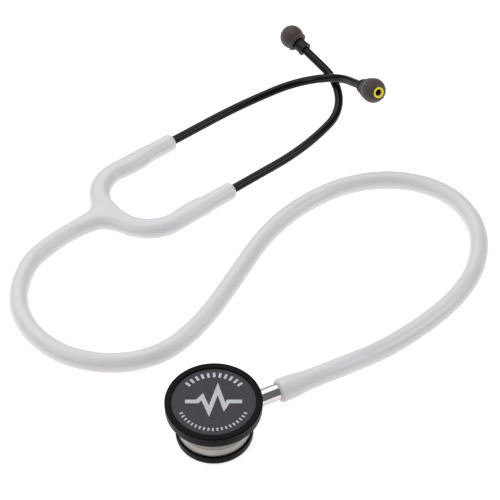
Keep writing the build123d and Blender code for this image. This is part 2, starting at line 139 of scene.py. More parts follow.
# %% Turned pieces
def turned(name, outline, material, origin=(0, 0, 0), axis=(0, 0, 1), segments=160, closed=True):
    """Spin an outline of (along, radius) points, in millimetres, about an axis."""
    along = np.array(axis, float) / np.linalg.norm(axis)
    helper = np.array([1.0, 0, 0]) if abs(along[0]) < 0.9 else np.array([0, 1.0, 0])
    across = np.cross(along, helper)
    across /= np.linalg.norm(across)
    upward = np.cross(along, across)
    angles = np.linspace(0, 2 * pi, segments, endpoint=False)
    ring = np.cos(angles)[:, None] * across + np.sin(angles)[:, None] * upward
    points = [np.array(origin, float) + along * x + ring * r for x, r in outline]
    points = np.concatenate(points)
    rows = len(outline)
    faces = []
    for row in range(rows if closed else rows - 1):
        first, second = row * segments, ((row + 1) % rows) * segments
        for step in range(segments):
            turn = (step + 1) % segments
            faces.append((first + step, second + step, second + turn, first + turn))
    return outward(add_mesh(name, points, faces, material))


# %% [markdown]
# Every finish is a small node tree on the Principled shader. The helper below makes the usual one: a base
# colour that wanders a little between two tones, a roughness that wanders too, and a fine bump. All of it
# reads Object coordinates, so the pattern sits on the piece whatever the camera does.


# %% Helpers for finishes
def finish(name, tones, roughness, grain, bump=0.05, mottle=60.0, **constants):
    """A finish with two base tones, a roughness range and a fine grain (its scale per metre)."""
    material = bpy.data.materials.new(name)
    material.use_nodes = True
    nodes, links = material.node_tree.nodes, material.node_tree.links
    shader = nodes["Principled BSDF"]
    for key, value in constants.items():
        shader.inputs[key.replace("_", " ")].default_value = value
    place = nodes.new("ShaderNodeTexCoord")
    cloud = nodes.new("ShaderNodeTexNoise")
    cloud.inputs["Scale"].default_value = mottle
    cloud.inputs["Detail"].default_value = 4
    links.new(place.outputs["Object"], cloud.inputs["Vector"])
    tone = nodes.new("ShaderNodeValToRGB")
    tone.color_ramp.elements[0].position = 0.3
    tone.color_ramp.elements[1].position = 0.7
    tone.color_ramp.elements[0].color = (*tones[0], 1)
    tone.color_ramp.elements[1].color = (*tones[1], 1)
    links.new(cloud.outputs["Fac"], tone.inputs["Fac"])
    links.new(tone.outputs["Color"], shader.inputs["Base Color"])
    fine = nodes.new("ShaderNodeTexNoise")
    fine.inputs["Scale"].default_value = grain
    fine.inputs["Detail"].default_value = 3
    links.new(place.outputs["Object"], fine.inputs["Vector"])
    gloss = nodes.new("ShaderNodeMapRange")
    gloss.inputs["From Min"].default_value = 0.3
    gloss.inputs["From Max"].default_value = 0.7
    gloss.inputs["To Min"].default_value = roughness[0]
    gloss.inputs["To Max"].default_value = roughness[1]
    links.new(fine.outputs["Fac"], gloss.inputs["Value"])
    links.new(gloss.outputs["Result"], shader.inputs["Roughness"])
    relief = nodes.new("ShaderNodeBump")
    relief.inputs["Strength"].default_value = bump
    relief.inputs["Distance"].default_value = 0.0002
    links.new(fine.outputs["Fac"], relief.inputs["Height"])
    links.new(relief.outputs["Normal"], shader.inputs["Normal"])
    return material


# %% [markdown]
# ## The hose
# The hose is soft white PVC, ten millimetres thick. It could be a mesh tube, but a NURBS curve with a round
# bevel is one smooth line through a handful of points, and it stays smooth however close one looks. The
# vinyl lets a little light into itself, so the shader has some subsurface, and it has a satin skin.

# %% Vinyl
vinyl = finish("white_vinyl", [(0.595, 0.584, 0.600), (0.635, 0.624, 0.644)], (0.27, 0.36), 1800, bump=0.04,
               mottle=25, Subsurface_Weight=0.15, Subsurface_Scale=0.003, IOR=1.5)
vinyl.node_tree.nodes["Principled BSDF"].inputs["Subsurface Radius"].default_value = (1.0, 0.7, 0.55)

# %% [markdown]
# The hose leaves the stem level, comes down to the table over about seven hose widths and then lies in one
# loose S to the fork. The route below is the handful of places that it passes; the curve of order 3 cuts
# inside each of them, as a stiff hose does.

# %% The hose's route
hose_radius = 5.0
hose_route = [
    (50, 0, 12.4), (68, 0, 12.4), (93, 5, 5.8), (117, 10, 5), (143, 18, 5), (167, 33, 5), (184, 58, 5),
    (184, 88, 5), (165, 110, 5), (137, 119, 5), (106, 115, 5), (78, 103, 5), (51, 82, 5), (24, 62, 5),
    (-4, 50, 5), (-32, 57, 5), (-53, 79, 5), (-58, 111, 5), (-43, 138, 5), (-22.84, 148.37, 5),
    (-11.19, 151.23, 5),
]
hose_curve = bpy.data.curves.new("hose", "CURVE")
hose_curve.dimensions = "3D"
hose_curve.bevel_depth = hose_radius * MM
hose_curve.bevel_resolution = 10
hose_curve.resolution_u = 24
spline = hose_curve.splines.new("NURBS")
spline.points.add(len(hose_route) - 1)
for knot, place in zip(spline.points, hose_route):
    knot.co = (place[0] * MM, place[1] * MM, place[2] * MM, 1)
spline.order_u = 3
spline.use_endpoint_u = True
hose = bpy.data.objects.new("hose", hose_curve)
bpy.context.collection.objects.link(hose)
hose_curve.materials.append(vinyl)
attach(hose, "tubing")
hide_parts("main_tube")
print("hose", len(hose_route), "route points, 10 mm thick")

# %% [markdown]
# Where the hose is pushed over the stem's barb it swells and ends in a soft round nose. This cuff is a
# turned piece whose outline flows back to the hose's own radius.

# %% Cuff
stem_height = 12.4
cuff_outline = [(50, 2.5), (47, 3.0), (33, 3.0), (33, 4.5)]
cuff_outline += [(34.6 - 1.6 * cos(turn), 4.4 + 1.6 * sin(turn)) for turn in np.linspace(0.1, pi / 2, 10)]
for share in np.linspace(0, 1, 14)[1:]:
    blend = share * share * (3 - 2 * share)
    cuff_outline.append((38 + 12 * share, 6.0 - 1.0 * blend))
cuff = turned("cuff", cuff_outline, vinyl, origin=(0, 0, stem_height), axis=(1, 0, 0))
print("cuff", len(cuff_outline), "outline points,", len(cuff.data.polygons), "faces")
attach(cuff, "tubing")
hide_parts("stem_cuff")

# %% [markdown]
# ## The fork
# The fork is moulded in one with the hose: a trunk that widens into a web, two round arms and two straight
# legs with a swelling on the inner side, where the spring's ends lie. Separate tubes pushed into each other
# would show a hard crease, so the whole fork is described as one smooth field, a distance that is negative
# inside, and its zero level is meshed.

# %% Fork sizes
headset_origin = np.array([77.0, 169.5, 5.0])
headset_heading = radians(13.8)
along_headset = np.array([cos(headset_heading), sin(headset_heading), 0])
across_headset = np.array([-sin(headset_heading), cos(headset_heading), 0])
upwards = np.array([0, 0, 1.0])
leg_spacing = 26.6
corner_radius = 24.0
corner_side = leg_spacing - corner_radius
leg_start = -44.0
leg_end = -4.5
trunk_start = -90.0
trunk_side = 3.3
crotch = leg_start - corner_radius
print("fork", leg_end - trunk_start, "mm long, legs", 2 * leg_spacing, "mm apart")

# %% [markdown]
# The fork lies askew on the table, so it is drawn in coordinates of its own, along and across the headset,
# and moved into place by one function. Two more functions join fields: where a plain minimum of two
# distances would meet in a sharp corner, these round it over a given reach.


# %% Headset coordinates and smooth joins
def to_frame(local):
    """Headset coordinates (along, across, up) to the object's frame, in millimetres."""
    local = np.atleast_2d(np.asarray(local, float))
    level = local[:, :1] * along_headset + local[:, 1:2] * across_headset
    return headset_origin + level + local[:, 2:] * upwards


def smooth_least(first, second, reach):
    """The lesser of two fields, with the corner between them filled over `reach`."""
    overlap = np.clip(reach - np.abs(first - second), 0, None) / reach
    return np.minimum(first, second) - overlap ** 2 * reach / 4


def smooth_most(first, second, reach):
    """The greater of two fields, with the edge between them rounded."""
    return -smooth_least(-first, -second, reach)


# %% [markdown]
# In the field, a leg or an arm is an ellipse round its middle line, and the trunk is another. They are
# joined smoothly, as in a mould with a rounded corner, and the legs' ends are rounded and bored for the
# tubes in the same way. The widths along each are read from a few stations.

# %% Fork field
corner_squeeze = 1.045
leg_widths = ([-68, -60, -44, -40, -36, -29, -25, -21, -4], [6.2, 6.1, 5.6, 5.85, 6.1, 6.1, 5.7, 5.1, 5.0])
swelling_start = 5.6
trunk_widths = ([-92, -88, -84, -78, -72, -66], [5.0, 5.0, 5.4, 6.4, 7.2, 7.2])
thickness = 5.0


def fork_field(points):
    """Distance to the fork's skin, in millimetres, at points in headset coordinates."""
    a, p, z = points[:, 0], np.abs(points[:, 1]), points[:, 2]
    in_leg = a > leg_start
    a = np.where(in_leg, a, leg_start + (a - leg_start) * corner_squeeze)
    on_corner = ~in_leg & (p > corner_side)
    outwards = np.where(in_leg, p - leg_spacing, crotch - a)
    turn_radius = np.hypot(a - leg_start, p - corner_side)
    outwards = np.where(on_corner, turn_radius - corner_radius, outwards)
    width = np.interp(a, *leg_widths)
    swelling = np.where(in_leg, np.clip(width - swelling_start, 0, None), 0)
    legs = (np.hypot((outwards + swelling) / width, z / thickness) - 1) * thickness
    legs = smooth_most(legs, a - leg_end, 3.0)
    bore = 2.62 - np.hypot(p - leg_spacing, z)
    legs = np.where(a > leg_end - 12, smooth_most(legs, bore, 0.5), legs)
    share = np.clip((points[:, 0] - trunk_start) / (crotch - trunk_start), 0, 1)
    middle = trunk_side * (1 - 0.55 * share ** 2)
    trunk_width = np.interp(points[:, 0], *trunk_widths)
    trunk = (np.hypot((points[:, 1] - middle) / trunk_width, z / thickness) - 1) * thickness
    trunk = np.maximum(trunk, points[:, 0] - crotch - 2)
    joined = smooth_least(legs, trunk, 6.0)
    return smooth_most(joined, np.abs(z) - thickness, 0.6)


# %% [markdown]
# The field is sampled on a grid, each cell that the skin crosses gets one point, and neighbouring cells are
# joined by quads (the method is called surface nets). A voxel remesh of a rough solid would do nearly the
# same, but it knows nothing of the field, and so it leaves steps in the shading.


# %% Surface nets
def field_slope(field, points, step=0.02):
    """The field's gradient by central differences."""
    slope = np.empty_like(points)
    for axis in range(3):
        shift = np.zeros(3)
        shift[axis] = step
        slope[:, axis] = (field(points + shift) - field(points - shift)) / (2 * step)
    return slope


def surface_nets(field, low, high, cell):
    """Points and quads of the field's zero level."""
    low, high = np.array(low, float), np.array(high, float)
    counts = np.ceil((high - low) / cell).astype(int) + 1
    axes = [low[axis] + cell * np.arange(counts[axis]) for axis in range(3)]
    grid = np.stack(np.meshgrid(*axes, indexing="ij"), -1)
    values = field(grid.reshape(-1, 3)).reshape(counts)
    inside = values < 0
    corners = sum(inside[i:counts[0] - 1 + i, j:counts[1] - 1 + j, k:counts[2] - 1 + k].astype(int)
                  for i in (0, 1) for j in (0, 1) for k in (0, 1))
    crossed = (corners > 0) & (corners < 8)
    number = -np.ones(crossed.shape, int)
    number[crossed] = np.arange(crossed.sum())
    points = low + cell * (np.argwhere(crossed) + 0.5)
    quads = []
    for axis in range(3):
        others = [other for other in range(3) if other != axis]
        ahead = np.take(inside, range(1, counts[axis]), axis)
        behind = np.take(inside, range(counts[axis] - 1), axis)
        for place in np.argwhere(ahead != behind):
            if min(place[others[0]], place[others[1]]) < 1:
                continue
            ring = []
            for back_0, back_1 in ((1, 1), (0, 1), (0, 0), (1, 0)):
                cell_place = place.copy()
                cell_place[others[0]] -= back_0
                cell_place[others[1]] -= back_1
                ring.append(number[tuple(cell_place)])
            outward_way = behind[tuple(place)]
            if (axis == 1) == outward_way:
                ring.reverse()
            quads.append(tuple(ring))
    return points, quads


# %% [markdown]
# Each point is then slid along the field's slope until it lies on the skin itself. The same slope gives the
# true normal there, so the shading has no trace of the grid.

# %% Mesh the fork
cell_size = 0.62
slides = 8
fork_points, fork_quads = surface_nets(fork_field, (trunk_start - 1.2, -34, -6), (-2, 34, 6), cell_size)
for _ in range(slides):
    slope = field_slope(fork_field, fork_points)
    steepness = np.maximum((slope ** 2).sum(1, keepdims=True), 0.05)
    fork_points = fork_points - slope * fork_field(fork_points)[:, None] / steepness
print("fork points", len(fork_points), "quads", len(fork_quads))
print("furthest from the skin", float(np.abs(fork_field(fork_points)).max().round(4)), "mm")

# %% [markdown]
# The two legs spring apart when the headset is opened, so the skin is cut into the web, which stays with the
# hose, and two halves. The cuts are closed, and each half carries the field's own normals, so
# no line shows between the pieces.


# %% Places on the arms
def corner_point(side, turn):
    """A point on a round arm, `turn` degrees from the crotch."""
    angle = radians(turn)
    along = leg_start - corner_radius * cos(angle)
    return np.array([along, side * (corner_side + corner_radius * sin(angle)), 0])


def arm_way(side, turn):
    """The arm's direction there, away from the crotch."""
    angle = radians(turn)
    return np.array([sin(angle), side * cos(angle), 0])


# %% [markdown]
# A bisect cuts the skin at a plane, and the open rim is filled with one flat face. Filling the rim changes
# the normals that Blender would work out for itself, so they are set one by one from the field, except on
# that flat face.


# %% Cut out one piece of the fork
def fork_piece(name, cuts):
    """The part of the fork in front of each cut (a point and a direction), closed and smoothly shaded."""
    shape = bmesh.new()
    handles = [shape.verts.new(tuple(point)) for point in fork_points]
    for quad in fork_quads:
        shape.faces.new([handles[corner] for corner in quad])
    for place, way in cuts:
        geometry = shape.verts[:] + shape.edges[:] + shape.faces[:]
        cut = bmesh.ops.bisect_plane(shape, geom=geometry, plane_co=tuple(place), plane_no=tuple(way),
                                     clear_inner=True)
        rim = [item for item in cut["geom_cut"] if isinstance(item, bmesh.types.BMEdge)]
        bmesh.ops.contextual_create(shape, geom=rim)
    bmesh.ops.recalc_face_normals(shape, faces=shape.faces)
    local = np.array([vert.co[:] for vert in shape.verts])
    for vert, place in zip(shape.verts, to_frame(local)):
        vert.co = tuple(place * MM)
    mesh = bpy.data.meshes.new(name)
    shape.to_mesh(mesh)
    shape.free()
    mesh.materials.append(vinyl)
    mesh.shade_smooth()
    slope = field_slope(fork_field, local)
    slope /= np.linalg.norm(slope, axis=1, keepdims=True)
    turned_slope = slope[:, :1] * along_headset + slope[:, 1:2] * across_headset + slope[:, 2:] * upwards
    normals = []
    for polygon in mesh.polygons:
        flat = len(polygon.vertices) > 8
        for index in polygon.vertices:
            normals.append(tuple(polygon.normal) if flat else tuple(turned_slope[index]))
    mesh.normals_split_custom_set(normals)
    piece = bpy.data.objects.new(name, mesh)
    bpy.context.collection.objects.link(piece)
    return piece


# %% [markdown]
# The web rides with the hose. On the real fork the soft vinyl of each leg stays still near the crotch and
# swings fully near the leg; here each leg is only cut off on its arm and kept as a plain mesh, on no body.

# %% Web and legs
web_turn = 8.0
sides = {"left": 1, "right": -1}
trunk_cut = (np.array([trunk_start, trunk_side, 0]), np.array([1.0, 0, 0]))
web_cuts = [trunk_cut]
for side in sides.values():
    web_cuts.append((corner_point(side, web_turn), -arm_way(side, web_turn)))
web = fork_piece("fork_web", web_cuts)
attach(web, "tubing")
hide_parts("yoke")
for side_name, side in sides.items():
    leg = fork_piece(f"{side_name}_leg", [(corner_point(side, web_turn), arm_way(side, web_turn))])
    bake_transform(leg)
    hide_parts(f"{side_name}_branch")
    print(leg.name, len(leg.data.polygons), "faces")

# %% [markdown]
# ## The ear tubes
# Each ear tube is a thin steel tube in gloss black enamel. It comes straight out of its leg, leans in a
# little, turns a tight elbow and ends at the ear tip. Both are bent to one rule, and each is then turned up
# in its leg by its own angle, so that one crosses over the other. A shape that follows a rule suits
# Geometry Nodes: a circle of a named radius is swept along the bent line.

# %% Tube line, in headset coordinates
tube_radius = 2.5
tube_bore = 1.8
tube_inner_end = -15.5
ease_radius = 177.0
ease_turn = radians(14.7)
elbow_radius = 33.4
tube_straight = 22.5
collar_length = 6.2
collar_depth = 5.2
ease_start = {1: 23.8, -1: 27.4}
tube_roll = {1: radians(24.2), -1: radians(15.3)}
elbow_turn = {1: radians(87.9), -1: radians(77.4)}


def tube_line(side):
    """Points along an ear tube, and the tube's free end with its direction."""
    inwards = across_headset * (-side * cos(tube_roll[side])) + upwards * sin(tube_roll[side])
    base = to_frame([0, side * leg_spacing, 0])[0]
    end_run = tube_straight - collar_length + collar_depth
    place, heading = np.array([tube_inner_end, 0.0]), 0.0
    flat = [place]
    for length, radius in ((ease_start[side] - tube_inner_end, 0), (ease_radius * ease_turn, ease_radius),
                           (elbow_radius * elbow_turn[side], elbow_radius), (end_run, 0)):
        steps = max(2, round(length / 1.5))
        for _ in range(steps):
            turn = length / steps / radius if radius else 0.0
            middle = heading + turn / 2
            place = place + length / steps * np.array([cos(middle), sin(middle)])
            heading += turn
            flat.append(place)
    flat = np.array(flat)
    points = base + flat[:, :1] * along_headset + flat[:, 1:] * inwards
    way = cos(heading) * along_headset + sin(heading) * inwards
    return points, way


for side_name, side in sides.items():
    print(side_name, "tube turned up", round(float(np.degrees(tube_roll[side])), 1), "degrees in its leg")

# %% [markdown]
# Gloss enamel is almost black with a low roughness, so that nearly all that one sees of it is the reflection
# of the lamps and the floor. A flat black would look like rubber. The tube itself could be a bevelled curve,
# as the hose is; a small node tree is used instead, because both tubes then share one rule and differ only
# in the line that is fed to it.

# %% Enamel
enamel = finish("black_enamel", [(0.002, 0.002, 0.0035), (0.004, 0.0038, 0.006)], (0.14, 0.20), 900,
                bump=0.02, mottle=40, IOR=1.5, Specular_IOR_Level=0.17)
print(enamel.name, "has", len(enamel.node_tree.nodes), "nodes")


# %% [markdown]
# The tree takes the line and turns it into a curve, sweeps a circle of the named radius along it, closes the
# ends, and gives it its finish.


# %% The sweep's nodes
def sweep_tree():
    """Geometry Nodes that sweep a ring along a line, with the tube's radius as a named input."""
    tree = bpy.data.node_groups.new("bent_tube", "GeometryNodeTree")
    tree.interface.new_socket("Geometry", in_out="INPUT", socket_type="NodeSocketGeometry")
    tree.interface.new_socket("Tube radius", in_out="INPUT", socket_type="NodeSocketFloat")
    tree.interface.new_socket("Finish", in_out="INPUT", socket_type="NodeSocketMaterial")
    tree.interface.new_socket("Geometry", in_out="OUTPUT", socket_type="NodeSocketGeometry")
    nodes, links = tree.nodes, tree.links
    start, end = nodes.new("NodeGroupInput"), nodes.new("NodeGroupOutput")
    line = nodes.new("GeometryNodeMeshToCurve")
    ring = nodes.new("GeometryNodeCurvePrimitiveCircle")
    ring.inputs["Resolution"].default_value = 40
    tube = nodes.new("GeometryNodeCurveToMesh")
    tube.inputs["Fill Caps"].default_value = True
    real = nodes.new("GeometryNodeRealizeInstances")
    smooth = nodes.new("GeometryNodeSetShadeSmooth")
    paint = nodes.new("GeometryNodeSetMaterial")
    links.new(start.outputs["Geometry"], line.inputs["Mesh"])
    links.new(start.outputs["Tube radius"], ring.inputs["Radius"])
    links.new(line.outputs["Curve"], tube.inputs["Curve"])
    links.new(ring.outputs["Curve"], tube.inputs["Profile Curve"])
    links.new(tube.outputs["Mesh"], smooth.inputs["Geometry"])
    links.new(smooth.outputs["Geometry"], real.inputs["Geometry"])
    links.new(real.outputs["Geometry"], paint.inputs["Geometry"])
    links.new(start.outputs["Finish"], paint.inputs["Material"])
    links.new(paint.outputs["Geometry"], end.inputs["Geometry"])
    return tree


def socket_named(tree, name):
    """The identifier of an input socket."""
    return next(item.identifier for item in tree.interface.items_tree
                if item.item_type == "SOCKET" and item.in_out == "INPUT" and item.name == name)


def settle(piece, modifier):
    """Turn a Geometry Nodes result into the piece's own plain mesh."""
    depsgraph = bpy.context.evaluated_depsgraph_get()
    mesh = bpy.data.meshes.new_from_object(piece.evaluated_get(depsgraph))
    piece.modifiers.remove(modifier)
    piece.data = mesh
    return piece


# %% [markdown]
# Each tube gets its line, the modifier and its inputs, and the result is then settled into a plain mesh, so
# that it can be exported and ride on its body as any other piece.

# %% The two ear tubes
bent_tube = sweep_tree()
tube_ends = {}
for side_name, side in sides.items():
    line, way = tube_line(side)
    tube_ends[side] = (line[-1], way)
    mesh = bpy.data.meshes.new(f"{side_name}_tube")
    mesh.from_pydata([tuple(point * MM) for point in line], [(i, i + 1) for i in range(len(line) - 1)], [])
    tube = bpy.data.objects.new(f"{side_name}_tube", mesh)
    bpy.context.collection.objects.link(tube)
    sweep = tube.modifiers.new("sweep", "NODES")
    sweep.node_group = bent_tube
    sweep[socket_named(bent_tube, "Tube radius")] = tube_radius * MM
    sweep[socket_named(bent_tube, "Finish")] = enamel
    settle(tube, sweep)
    outward(tube, 50)
    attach(tube, f"{side_name}_ear")
    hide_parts(f"{side_name}_ear_tube")
    print(tube.name, "ends at", np.round(line[-1], 2), "heading", np.round(way, 3))

# %% [markdown]
# ## Collars, ear tips and their cores
# The collar is a short black sleeve with a small step at its rear. The ear tip is a soft silicone mushroom
# with a lip round its skirt, and a hard yellow core shows in its opening.

# %% Tip finishes
collar_black = finish("black_collar", [(0.008, 0.008, 0.010), (0.012, 0.012, 0.015)], (0.28, 0.38), 2500,
                      bump=0.05, mottle=200, IOR=1.5, Specular_IOR_Level=0.20)
silicone = finish("taupe_silicone", [(0.030, 0.020, 0.016), (0.055, 0.039, 0.031)], (0.55, 0.68), 6000,
                  bump=0.25, mottle=300, IOR=1.42, Sheen_Weight=0.15)
core_yellow = finish("yellow_core", [(0.80, 0.62, 0.010), (0.86, 0.70, 0.02)], (0.25, 0.35), 1500, bump=0.03,
                     mottle=200, IOR=1.5)

# %% [markdown]
# Collar, core and tip are all round about the tube's end, so each is an outline in distance along that end
# and distance from its axis. The tip's outline is most of a circle with a lip round its skirt. The cores and
# tips ride on bodies of their own, because they pull off.

# %% Collars, tips and cores
collar_radius = 4.3
collar_front = collar_length - collar_depth
nipple_radius = 2.6
nipple_length = 6.5
tip_gap = 0.3
tip_length = 11.9
tip_radius = 7.0
core_radius = 3.1
core_bore = 1.95
core_depth = 1.6
tip_rear = collar_front + tip_gap
tip_end = tip_rear + tip_length
skirt_floor = tip_rear + 2.2

collar_outline = rounded([(-collar_depth, tube_radius), (0, tube_radius), (0, tube_bore),
                          (collar_front + nipple_length, tube_bore),
                          (collar_front + nipple_length, nipple_radius), (collar_front, nipple_radius),
                          (collar_front, 3.95), (-collar_depth + 1.3, 4.05),
                          (-collar_depth + 1.1, collar_radius), (-collar_depth, collar_radius)],
                         [0.3, 0, 0, 0.2, 0.4, 0.1, 0.25, 0.1, 0.25, 0.25])
core_back = tip_end - core_depth
core_outline = rounded([(core_back, core_radius - 0.3), (core_back, core_bore), (tip_end, core_bore),
                        (tip_end, core_radius), (core_back, core_radius)], [0, 0.1, 0.3, 0.3, 0])
tip_outline = [(tip_end - 0.25, core_radius)]
dome_centre = tip_end - 0.9 * tip_radius
for turn in [*np.linspace(31, 92, 16), *np.linspace(98, 119, 6)]:
    tip_outline.append((dome_centre + tip_radius * cos(radians(turn)), tip_radius * sin(radians(turn))))
lip = [(1.95, 5.95), (1.6, 6.05), (1.25, 6.2), (0.8, 6.2), (0.35, 6.1), (0.06, 5.8), (0, 5.4), (0, 4.7),
       (0.25, 4.35), (0.5, 3.6)]
tip_outline += [(tip_rear + along, radius) for along, radius in lip]
tip_outline.append((skirt_floor, core_radius))
for side_name, side in sides.items():
    end, way = tube_ends[side]
    collar = turned(f"{side_name}_collar_sleeve", collar_outline, collar_black, end, way, 96)
    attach(collar, f"{side_name}_ear")
    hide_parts(f"{side_name}_collar")
    core = turned(f"{side_name}_core", core_outline, core_yellow, end, way, 96)
    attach(core, f"{side_name}_tip")
    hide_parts(f"{side_name}_tip_core")
    tip = turned(f"{side_name}_tip", tip_outline, silicone, end, way, 128)
    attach(tip, f"{side_name}_tip")
    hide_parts(f"{side_name}_ear_tip")
    for piece in (collar, core, tip):
        print(piece.name, len(piece.data.polygons), "faces")

# %% [markdown]
# ## The chestpiece
# The drum is turned steel, brushed round its axis, so its finish is streaks that run round it: noise read
# on the angle and the height. Its tone also steps with height, and the bead under the rim carries a painted
# highlight. The rim and the bell ring are satin black plastic, the diaphragm is a slate disc with a fine
# sandblasted face, and the stem is polished.


# %% Turned steel
head_height = 24.2


def brushed_steel_painted_highlight():
    """Steel with fine turning marks round the Z axis, with tone in steps by height and a painted highlight on
    its bead.
    """
    material = finish("turned_steel_painted_highlight", [(0.50, 0.47, 0.44), (0.60, 0.57, 0.54)], (0.28, 0.40), 900, bump=0.0,
                      mottle=90, Metallic=1.0)
    nodes, links = material.node_tree.nodes, material.node_tree.links
    shader = nodes["Principled BSDF"]
    place = next(node for node in nodes if node.bl_idname == "ShaderNodeTexCoord")
    marks = nodes.new("ShaderNodeTexNoise")
    stretch = nodes.new("ShaderNodeMapping")
    stretch.inputs["Scale"].default_value = (60, 60, 9000)
    links.new(place.outputs["Object"], stretch.inputs["Vector"])
    links.new(stretch.outputs["Vector"], marks.inputs["Vector"])
    marks.inputs["Scale"].default_value = 1.0
    marks.inputs["Detail"].default_value = 5
    relief = next(node for node in nodes if node.bl_idname == "ShaderNodeBump")
    relief.inputs["Strength"].default_value = 0.12
    relief.inputs["Distance"].default_value = 0.0001
    links.new(marks.outputs["Fac"], relief.inputs["Height"])
    height = nodes.new("ShaderNodeSeparateXYZ")
    links.new(place.outputs["Object"], height.inputs["Vector"])
    share = nodes.new("ShaderNodeMapRange")
    share.inputs["From Max"].default_value = head_height * MM
    links.new(height.outputs["Z"], share.inputs["Value"])
    banding_with_painted_highlight = nodes.new("ShaderNodeValToRGB")
    links.new(share.outputs["Result"], banding_with_painted_highlight.inputs["Fac"])
    ramp = banding_with_painted_highlight.color_ramp
    # Tone by height: plain steel from 4.8 to 9.9 mm, a thin dark line from 10.0 to 10.3 mm, darker from 10.4
    # to 12.8 mm, and from 13.3 mm up a painted highlight on the bead, tone 1.6, brighter than real steel.
    height_tones_with_painted_highlight = [(4.8, 0.60), (9.9, 0.56), (10.0, 0.12), (10.3, 0.12), (10.4, 0.40), (12.8, 0.32), (13.3, 1.6)]
    while len(ramp.elements) < len(height_tones_with_painted_highlight):
        ramp.elements.new(0.5)
    for element, (level, tone) in zip(ramp.elements, height_tones_with_painted_highlight):
        element.position = level / head_height
        element.color = (tone, tone, tone, 1)
    blend = nodes.new("ShaderNodeMix")
    blend.data_type = "RGBA"
    blend.blend_type = "MULTIPLY"
    blend.inputs["Factor"].default_value = 1.0
    tone_node = next(node for node in nodes if node.bl_idname == "ShaderNodeValToRGB" and node != banding_with_painted_highlight)
    links.new(tone_node.outputs["Color"], blend.inputs[6])
    links.new(banding_with_painted_highlight.outputs["Color"], blend.inputs[7])
    links.new(blend.outputs[2], shader.inputs["Base Color"])
    return material


# %% [markdown]
# The other finishes of the chestpiece need no streaks. They differ in tone, in how sharply they shine and in
# the size of their grain: fine for moulded plastic, coarse for the blasted disc.

# %% Other chestpiece finishes
steel = brushed_steel_painted_highlight()
chrome = finish("polished_stem", [(0.50, 0.475, 0.47), (0.57, 0.545, 0.54)], (0.11, 0.17), 300,
                bump=0.01, mottle=80, Metallic=1.0)
ring_black = finish("black_ring", [(0.0020, 0.0020, 0.0028), (0.0042, 0.0042, 0.0055)], (0.34, 0.44), 5000,
                    bump=0.15, mottle=120, IOR=1.5, Specular_IOR_Level=0.06)
slate = finish("slate_disc", [(0.022, 0.022, 0.030), (0.030, 0.030, 0.039)], (0.42, 0.56), 5000, bump=0.3,
               mottle=500, IOR=1.5, Specular_IOR_Level=0.30)
dark_rubber = finish("dark_rubber", [(0.02, 0.02, 0.02), (0.035, 0.035, 0.035)], (0.6, 0.8), 3000, bump=0.2)
spring_steel = finish("spring_steel", [(0.42, 0.43, 0.45), (0.52, 0.53, 0.55)], (0.25, 0.4), 2000, bump=0.1,
                      Metallic=1.0)
print_grey = finish("print_grey", [(0.42, 0.43, 0.47), (0.50, 0.51, 0.55)], (0.5, 0.65), 4000,
                    bump=0.1, mottle=900)

# %% [markdown]
# The rim snaps over the drum's flange, and the bell ring covers the drum's foot, so that neither metal edge
# feels cold on the skin. Both are turned outlines with a generous radius on the edges that one touches, and
# both wrap round the metal as the real rings do instead of lying against it.

# %% Rim and bell ring
rim_bottom = 18.3
rim_outline = rounded([(head_height, 19.4), (head_height, 22.5), (rim_bottom, 22.4), (rim_bottom, 19.9),
                       (19.3, 19.9), (19.3, 20.6), (23.4, 20.6), (23.4, 19.4)],
                      [0.35, 0.7, 1.3, 0.2, 0, 0, 0, 0.1], 8)
rim = turned("rim", rim_outline, ring_black, segments=256)
bell_outline = rounded([(0, 15.0), (0, 18.2), (4.8, 18.2), (4.8, 17.3), (1.4, 17.0), (1.4, 15.6), (3.4, 15.6),
                        (3.4, 15.0)], [0.15, 1.7, 1.0, 0.1, 0, 0, 0, 0.2], 8)
bell = turned("bell", bell_outline, ring_black, segments=256)
for piece, node in ((rim, "diaphragm_rim"), (bell, "bell_ring")):
    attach(piece, "chestpiece")
    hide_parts(node)
    print(piece.name, len(piece.data.polygons), "faces")

# %% [markdown]
# The diaphragm carries a pale print: a heartbeat line between two arcs of short dial marks. The marks repeat,
# so Geometry Nodes sets them out along an arc, with the arc's size and the number of marks as named inputs;
# the heartbeat is a ribbon with mitred corners. Both are thin raised ink, as a pad printer lays it down.


